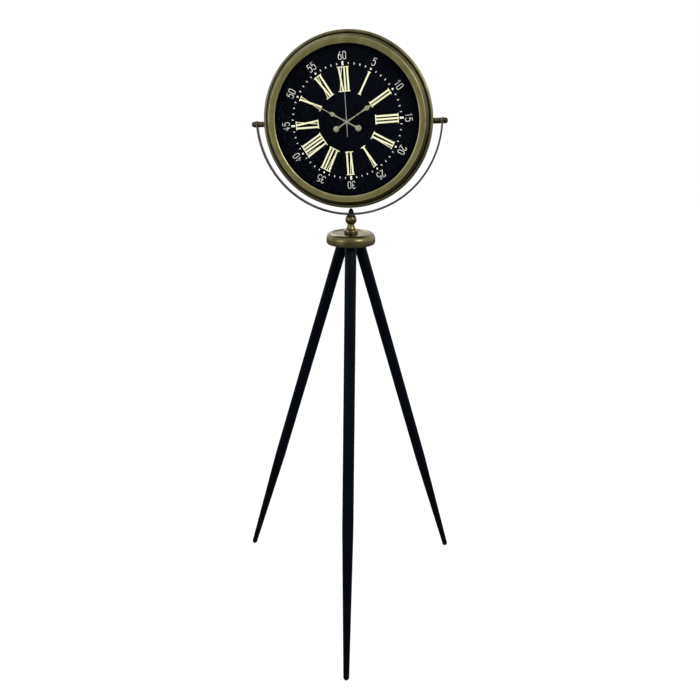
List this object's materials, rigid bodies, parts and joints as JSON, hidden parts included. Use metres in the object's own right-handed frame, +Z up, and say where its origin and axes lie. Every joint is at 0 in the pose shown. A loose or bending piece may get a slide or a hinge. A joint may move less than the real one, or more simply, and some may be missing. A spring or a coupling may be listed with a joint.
{
  "type": "tripod floor clock",
  "caption": "Round floor clock that tilts in a bent strap yoke on a turned post above three splayed tapering legs.",
  "frame": {"origin": "centre of the bottom of the bounding box, on the floor; the post stands behind it", "axes": "+Z up, the dial faces -Y, +X to the viewer's right"},
  "size_m": [0.6478, 0.563, 1.5499],
  "materials": {
    "black_wood": "satin paint",
    "antique_brass": "aged, brushed",
    "dark_bronze": "aged, satin",
    "cast_alloy": "as cast",
    "zinc_steel": "zinc plated",
    "drum_lacquer": "aged brass lacquer",
    "clear_glass": "clear",
    "dial_black": "matt",
    "cream_enamel": "satin",
    "board_brown": "raw fibreboard",
    "old_gold": "satin",
    "grey_enamel": "satin",
    "movement_plastic": "moulded",
    "gear_plastic": "moulded",
    "black_rubber": "matt",
    "plated_brass": "polished",
    "cell_jacket": "printed film",
    "copper_winding": "enamelled wire",
    "board_green": "solder resist",
    "magnet_grey": "sintered"
  },
  "bodies": {
    "stand": {"leg_front": "black_wood", "leg_left": "black_wood", "leg_right": "black_wood", "hanger_bolts": "zinc_steel", "threaded_inserts": "zinc_steel", "head_block": "cast_alloy", "head_cap": "antique_brass", "post_collar": "antique_brass", "post_bell": "antique_brass", "post_ball": "antique_brass", "post_stud": "zinc_steel", "swivel_washer": "dark_bronze", "cone_nut": "antique_brass"},
    "yoke": {"yoke_strap": "dark_bronze"},
    "case": {"bezel": "antique_brass", "case_drum": "drum_lacquer", "back_cover": "drum_lacquer", "cover_screws": "zinc_steel", "glass": "clear_glass", "dial_surround": "dial_black", "dial": "dial_black", "dial_board": "board_brown", "dial_pillars": "plated_brass", "pillar_screws": "zinc_steel", "hour_numerals": "cream_enamel", "minute_marks": "cream_enamel", "pivot_spacer_left": "dark_bronze", "pivot_spacer_right": "dark_bronze", "dome_nut_left": "dark_bronze", "dome_nut_right": "dark_bronze", "pivot_stud_left": "zinc_steel", "pivot_stud_right": "zinc_steel", "pivot_washers": "zinc_steel", "pivot_nuts": "zinc_steel", "movement_front": "movement_plastic", "movement_back": "movement_plastic", "rubber_pad": "black_rubber", "dial_washer": "plated_brass", "dial_nut": "plated_brass", "battery": "cell_jacket", "battery_contacts": "zinc_steel", "circuit_board": "board_green", "coil": "copper_winding", "stator": "zinc_steel"},
    "second": {"second_hand": "grey_enamel", "second_wheel": "gear_plastic"},
    "minute": {"minute_hand": "old_gold", "minute_tube": "gear_plastic"},
    "hour": {"hour_hand": "old_gold", "hour_wheel": "gear_plastic"},
    "centre_wheel": {"centre_wheel": "gear_plastic"},
    "third_wheel": {"third_wheel": "gear_plastic"},
    "intermediate_wheel": {"intermediate_wheel": "gear_plastic"},
    "rotor": {"rotor": "magnet_grey"},
    "minute_wheel": {"minute_wheel": "gear_plastic"},
    "setting_knob": {"setting_knob": "gear_plastic"}
  },
  "joints": [
    {"name": "yoke_swivel", "type": "hinge", "parent": "stand", "child": "yoke", "pos_m": [0, 0.09125, 1.13109], "axis": [0, 0, 1], "continuous": true},
    {"name": "case_tilt", "type": "hinge", "parent": "yoke", "child": "case", "pos_m": [-0.00735, 0.09191, 1.34786], "axis": [0.9955, -0.0888, 0.034], "continuous": true},
    {"name": "second_turn", "type": "hinge", "parent": "case", "child": "second", "pos_m": [-0.00999, 0.06331, 1.35051], "axis": [0.0902, 0.9951, -0.0401], "continuous": true},
    {"name": "minute_turn", "type": "hinge", "parent": "case", "child": "minute", "pos_m": [-0.00999, 0.06331, 1.35051], "axis": [0.0902, 0.9951, -0.0401], "continuous": true},
    {"name": "hour_turn", "type": "hinge", "parent": "case", "child": "hour", "pos_m": [-0.00999, 0.06331, 1.35051], "axis": [0.0902, 0.9951, -0.0401], "continuous": true},
    {"name": "centre_wheel_turn", "type": "hinge", "parent": "case", "child": "centre_wheel", "pos_m": [-0.00999, 0.06331, 1.35051], "axis": [0.0902, 0.9951, -0.0401], "continuous": true},
    {"name": "third_wheel_turn", "type": "hinge", "parent": "case", "child": "third_wheel", "pos_m": [-0.01079, 0.06376, 1.35997], "axis": [0.0902, 0.9951, -0.0401], "continuous": true},
    {"name": "intermediate_wheel_turn", "type": "hinge", "parent": "case", "child": "intermediate_wheel", "pos_m": [-0.00158, 0.06246, 1.34826], "axis": [0.0902, 0.9951, -0.0401], "continuous": true},
    {"name": "rotor_turn", "type": "hinge", "parent": "case", "child": "rotor", "pos_m": [0.00371, 0.06219, 1.35356], "axis": [0.0902, 0.9951, -0.0401], "continuous": true},
    {"name": "minute_wheel_turn", "type": "hinge", "parent": "case", "child": "minute_wheel", "pos_m": [-0.0179, 0.06388, 1.34681], "axis": [0.0902, 0.9951, -0.0401], "continuous": true},
    {"name": "setting_knob_turn", "type": "hinge", "parent": "case", "child": "setting_knob", "pos_m": [-0.02614, 0.06447, 1.34296], "axis": [0.0902, 0.9951, -0.0401], "continuous": true}
  ],
  "couplings": [
    {"joint": "third_wheel_turn", "follows": "second_turn", "ratio": -0.13333},
    {"joint": "centre_wheel_turn", "follows": "second_turn", "ratio": 0.016667},
    {"joint": "intermediate_wheel_turn", "follows": "second_turn", "ratio": -6},
    {"joint": "rotor_turn", "follows": "second_turn", "ratio": 30},
    {"joint": "minute_wheel_turn", "follows": "minute_turn", "ratio": -0.33333},
    {"joint": "hour_turn", "follows": "minute_turn", "ratio": 0.083333},
    {"joint": "setting_knob_turn", "follows": "minute_turn", "ratio": 0.85714}
  ]
}
